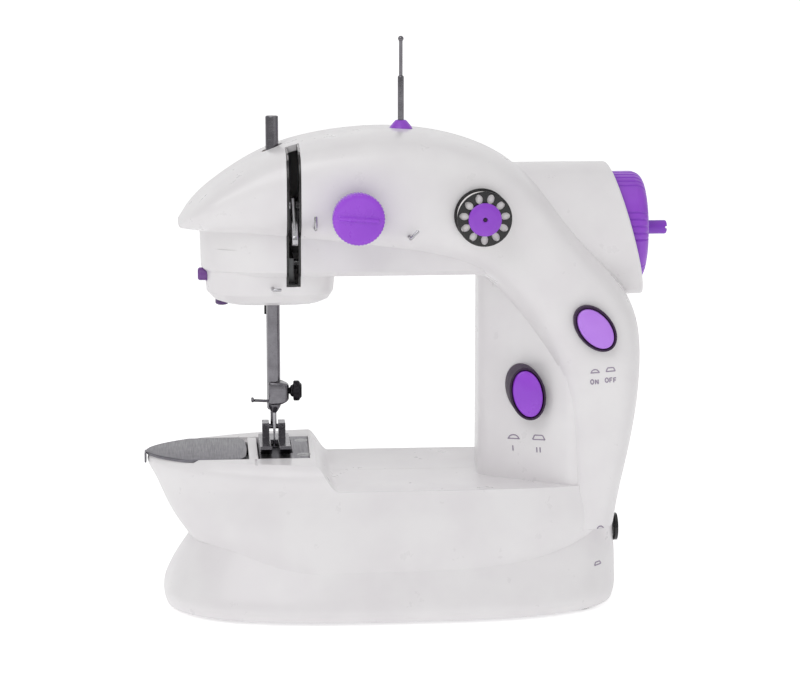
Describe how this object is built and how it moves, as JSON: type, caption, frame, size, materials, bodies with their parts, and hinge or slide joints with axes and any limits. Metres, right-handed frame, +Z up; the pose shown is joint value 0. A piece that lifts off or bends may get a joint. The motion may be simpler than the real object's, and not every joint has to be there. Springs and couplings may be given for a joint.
{
  "type": "mini sewing machine",
  "caption": "Small portable sewing machine with a curved white arm over a boat-shaped bed, purple hand wheel, tension dial and buttons, telescopic thread pin and working needle drive",
  "frame": {"origin": "centre of the outline at the ground, under the rubber feet", "axes": "+X towards the hand wheel, -Y towards the user, +Z up"},
  "size_m": [0.2051, 0.1013, 0.2203],
  "materials": {
    "white_shell": "glossy moulded ABS",
    "purple": "glossy moulded ABS",
    "purple_deep": "glossy moulded ABS",
    "purple_light": "glossy moulded ABS",
    "black_plastic": "moulded black plastic",
    "tray_grey": "fine-textured moulded ABS",
    "rubber": "soft black rubber",
    "steel_plate": "zinc-plated sheet steel",
    "bronze": "sintered bronze",
    "steel_rod": "ground steel",
    "nylon": "moulded nylon",
    "motor_can": "plated steel can",
    "belt": "black belt rubber",
    "clear_plastic": "clear moulded plastic",
    "cast_metal": "die-cast alloy",
    "plate_steel": "brushed stamped steel",
    "chrome": "polished plating",
    "dark_chrome": "dark polished plating",
    "spring_steel": "plated steel",
    "thread": "wound white thread",
    "ring_dark": "dark moulded plastic",
    "board": "circuit board and switches",
    "wire_red": "insulated wire"
  },
  "bodies": {
    "machine": {"front_cover": "white_shell", "rear_cover": "white_shell", "slot_trim": "black_plastic", "base_tray": "tray_grey", "rubber_feet": "rubber", "chassis": "steel_plate", "bushes": "bronze", "motor_body": "motor_can", "drive_belt": "belt", "timing_belt": "belt", "bobbin_case": "black_plastic", "needle_plate": "plate_steel", "presser_spring": "spring_steel", "tension_stud": "chrome", "tension_discs": "chrome", "thread_guides": "chrome", "bobbin_spindle": "chrome", "spool_pin_base": "purple", "button_rings": "ring_dark", "lamp": "clear_plastic", "circuit_board": "board", "jacks": "black_plastic", "wires": "wire_red", "screws": "spring_steel"},
    "main_line": {"main_shaft": "steel_rod", "crank_disc": "steel_rod", "main_pulley": "nylon", "hand_wheel": "purple", "winder_spindle": "purple"},
    "motor_rotor": {"motor_pulley": "nylon"},
    "lower_line": {"lower_shaft": "steel_rod", "lower_pulley": "nylon", "lower_gear": "nylon"},
    "hook": {"hook_gear": "nylon", "rotary_hook": "steel_rod"},
    "hook_bobbin": {"lower_bobbin": "clear_plastic"},
    "feed_slide": {"feed_carrier": "cast_metal"},
    "feed": {"feed_dog": "steel_rod"},
    "needle_group": {"needle_bar": "chrome", "needle_yoke": "cast_metal", "needle_clamp": "dark_chrome", "needle": "chrome", "needle_guide": "chrome"},
    "clamp_knob": {"clamp_screw": "dark_chrome"},
    "take_up": {"take_up_lever": "chrome"},
    "presser_group": {"presser_bar": "chrome"},
    "foot": {"presser_foot": "dark_chrome"},
    "lifter": {"presser_lifter": "black_plastic"},
    "dial": {"tension_dial": "purple"},
    "front_bobbin": {"thread_bobbin": "dark_chrome", "thread_winding": "thread"},
    "cap": {"bobbin_cap": "purple"},
    "pin_tube": {"spool_pin_tube": "chrome"},
    "pin_rod": {"spool_pin_rod": "chrome"},
    "power": {"power_button": "purple_light"},
    "speed": {"speed_button": "purple"},
    "light": {"light_button": "purple_deep"},
    "slide": {"slide_plate": "plate_steel"},
    "battery_lid": {"battery_door": "tray_grey"}
  },
  "joints": [
    {"name": "main_spin", "type": "hinge", "parent": "machine", "child": "main_line", "pos_m": [0, 0, 0.1453], "axis": [1, 0, 0], "continuous": true},
    {"name": "motor_spin", "type": "hinge", "parent": "machine", "child": "motor_rotor", "pos_m": [0.05, 0.002, 0.095], "axis": [1, 0, 0], "continuous": true},
    {"name": "lower_spin", "type": "hinge", "parent": "machine", "child": "lower_line", "pos_m": [0, 0, 0.027], "axis": [1, 0, 0], "continuous": true},
    {"name": "hook_spin", "type": "hinge", "parent": "machine", "child": "hook", "pos_m": [-0.0685, 0, 0.027], "axis": [0, 0, 1], "continuous": true},
    {"name": "hook_bobbin_spin", "type": "hinge", "parent": "machine", "child": "hook_bobbin", "pos_m": [-0.0685, 0, 0.045], "axis": [0, 0, 1], "continuous": true},
    {"name": "feed_stroke", "type": "slide", "parent": "machine", "child": "feed_slide", "axis": [0, 1, 0], "range_m": [-0.0012, 0.0012]},
    {"name": "feed_lift", "type": "slide", "parent": "feed_slide", "child": "feed", "axis": [0, 0, 1], "range_m": [0, 0.0024]},
    {"name": "needle_stroke", "type": "slide", "parent": "machine", "child": "needle_group", "axis": [0, 0, 1], "range_m": [0, 0.026]},
    {"name": "clamp_screw_turn", "type": "hinge", "parent": "needle_group", "child": "clamp_knob", "pos_m": [-0.046, 0, 0.0822], "axis": [1, 0, 0], "range_deg": [0, 360]},
    {"name": "take_up_swing", "type": "hinge", "parent": "machine", "child": "take_up", "pos_m": [-0.045, -0.0235, 0.158], "axis": [-1, 0, 0], "range_deg": [0, 58.5]},
    {"name": "presser_lift", "type": "slide", "parent": "machine", "child": "presser_group", "axis": [0, 0, 1], "range_m": [0, 0.005], "deforming": ["presser_spring"]},
    {"name": "foot_tilt", "type": "hinge", "parent": "presser_group", "child": "foot", "pos_m": [-0.052, 0.01, 0.066], "axis": [-1, 0, 0], "range_deg": [0, 6]},
    {"name": "lifter_swing", "type": "hinge", "parent": "machine", "child": "lifter", "pos_m": [-0.052, 0.0175, 0.1265], "axis": [1, 0, 0], "range_deg": [0, 43]},
    {"name": "tension_turn", "type": "hinge", "parent": "machine", "child": "dial", "pos_m": [-0.0215, -0.042, 0.1552], "axis": [0, -1, 0], "range_deg": [-150, 150]},
    {"name": "front_bobbin_spin", "type": "hinge", "parent": "machine", "child": "front_bobbin", "pos_m": [0.025, -0.043, 0.1552], "axis": [0, -1, 0], "continuous": true},
    {"name": "cap_pull", "type": "slide", "parent": "machine", "child": "cap", "axis": [0, -1, 0], "range_m": [0, 0.0095]},
    {"name": "pin_tube_slide", "type": "slide", "parent": "machine", "child": "pin_tube", "axis": [0, 0, 1], "range_m": [-0.016, 0]},
    {"name": "pin_rod_slide", "type": "slide", "parent": "pin_tube", "child": "pin_rod", "axis": [0, 0, 1], "range_m": [-0.0128, 0]},
    {"name": "power_press", "type": "slide", "parent": "machine", "child": "power", "axis": [0, 1, 0], "range_m": [0, 0.0015], "stiffness_N_per_m": 300},
    {"name": "speed_press", "type": "slide", "parent": "machine", "child": "speed", "axis": [0, 1, 0], "range_m": [0, 0.0015], "stiffness_N_per_m": 300},
    {"name": "light_press", "type": "slide", "parent": "machine", "child": "light", "axis": [1, 0, 0], "range_m": [0, 0.001], "stiffness_N_per_m": 200},
    {"name": "slide_open", "type": "slide", "parent": "machine", "child": "slide", "axis": [-1, 0, 0], "range_m": [0, 0.03]},
    {"name": "battery_lid_swing", "type": "hinge", "parent": "machine", "child": "battery_lid", "pos_m": [0.0525, 0, 0.0025], "axis": [0, -1, 0], "range_deg": [0, 110]}
  ],
  "couplings": [
    {"joint": "motor_spin", "follows": "main_spin", "ratio": 3.6},
    {"joint": "lower_spin", "follows": "main_spin", "ratio": 1},
    {"joint": "hook_spin", "follows": "main_spin", "ratio": -2},
    {"joint": "take_up_swing", "follows": "needle_stroke", "rad_per_m": 38.8},
    {"joint": "feed_lift", "follows": "needle_stroke", "ratio": 0.0923},
    {"joint": "lifter_swing", "follows": "presser_lift", "rad_per_m": 139.6}
  ]
}
